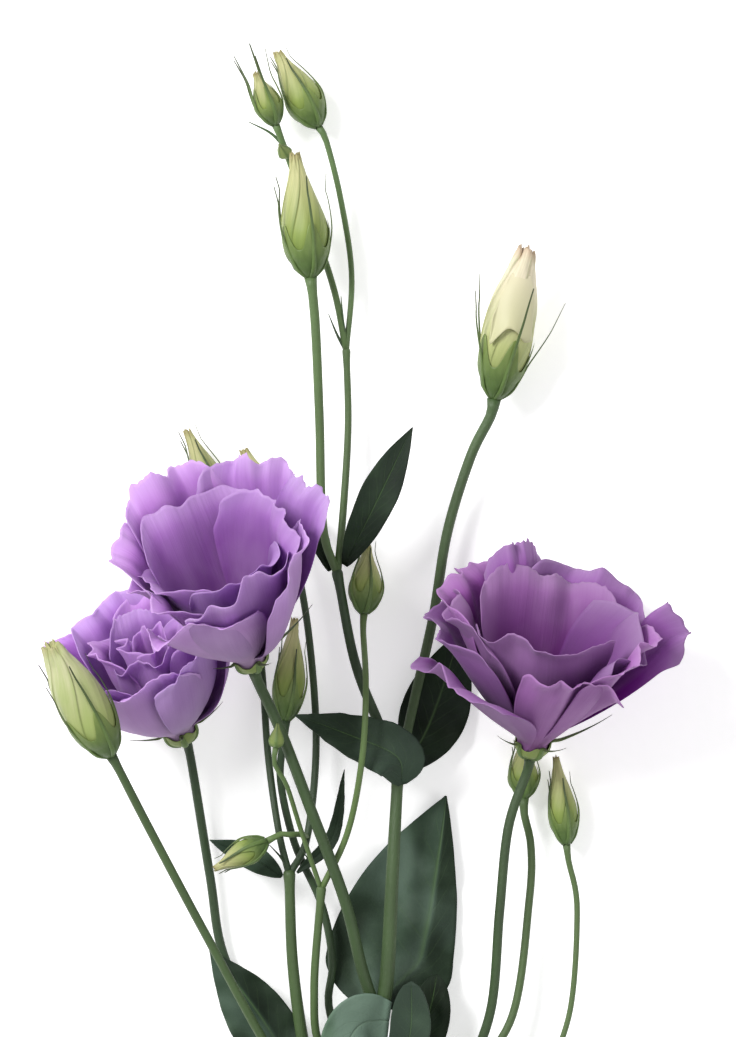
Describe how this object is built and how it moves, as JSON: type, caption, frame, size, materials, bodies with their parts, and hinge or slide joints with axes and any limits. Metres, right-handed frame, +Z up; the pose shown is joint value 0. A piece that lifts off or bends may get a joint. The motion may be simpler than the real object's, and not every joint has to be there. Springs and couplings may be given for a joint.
{
  "type": "lisianthus flower",
  "caption": "Cut branching stem of double lisianthus lying on its side, with open ruffled lilac blooms, slender pale green buds and grey-green leaves.",
  "frame": {"origin": "middle of the footprint, on the surface that the stem lies on", "axes": "+Y from the cut end towards the flowers, +Z up from the surface, +X to the right"},
  "size_m": [0.1816, 0.3269, 0.0863],
  "materials": {
    "stem": "satin, slightly waxy skin",
    "leaf": "satin, glaucous bloom",
    "petal": "matte, silky",
    "calyx": "satin",
    "bud": "matte, silky",
    "cream_bud": "matte, silky",
    "pistil": "satin",
    "stamen": "matte"
  },
  "bodies": {
    "root": {"stem": "stem", "leaf_upper_right": "leaf", "leaf_upper_left": "leaf", "leaf_middle_left": "leaf", "leaf_middle_right": "leaf", "leaf_foot_large": "leaf", "leaf_foot_left": "leaf", "leaf_foot_front": "leaf", "leaf_foot_right": "leaf", "leaf_foot_back": "leaf", "leaf_side_small": "leaf", "leaf_bract": "leaf", "bud_left_corolla": "cream_bud", "bud_left_calyx": "calyx", "bud_left_top_corolla": "bud", "bud_left_top_calyx": "calyx", "bud_back_corolla": "bud", "bud_back_calyx": "calyx", "bud_tall_corolla": "bud", "bud_tall_calyx": "calyx", "bud_top_corolla": "bud", "bud_top_calyx": "calyx", "bud_far_corolla": "bud", "bud_far_calyx": "calyx", "bud_cream_corolla": "cream_bud", "bud_cream_calyx": "calyx", "bud_mid_corolla": "bud", "bud_mid_calyx": "calyx", "bud_hidden_corolla": "bud", "bud_hidden_calyx": "calyx", "bud_side_corolla": "bud", "bud_side_calyx": "calyx", "bud_right_corolla": "bud", "bud_right_calyx": "calyx", "bud_under_corolla": "bud", "bud_under_calyx": "calyx", "bud_small": "calyx", "bud_far_side": "calyx", "bloom_right_petals": "petal", "bloom_right_calyx": "calyx", "bloom_right_pistil": "pistil", "bloom_right_stamens": "stamen", "bloom_front_petals": "petal", "bloom_front_calyx": "calyx", "bloom_front_pistil": "pistil", "bloom_front_stamens": "stamen", "bloom_back_petals": "petal", "bloom_back_calyx": "calyx", "bloom_back_pistil": "pistil", "bloom_back_stamens": "stamen"}
  },
  "joints": []
}
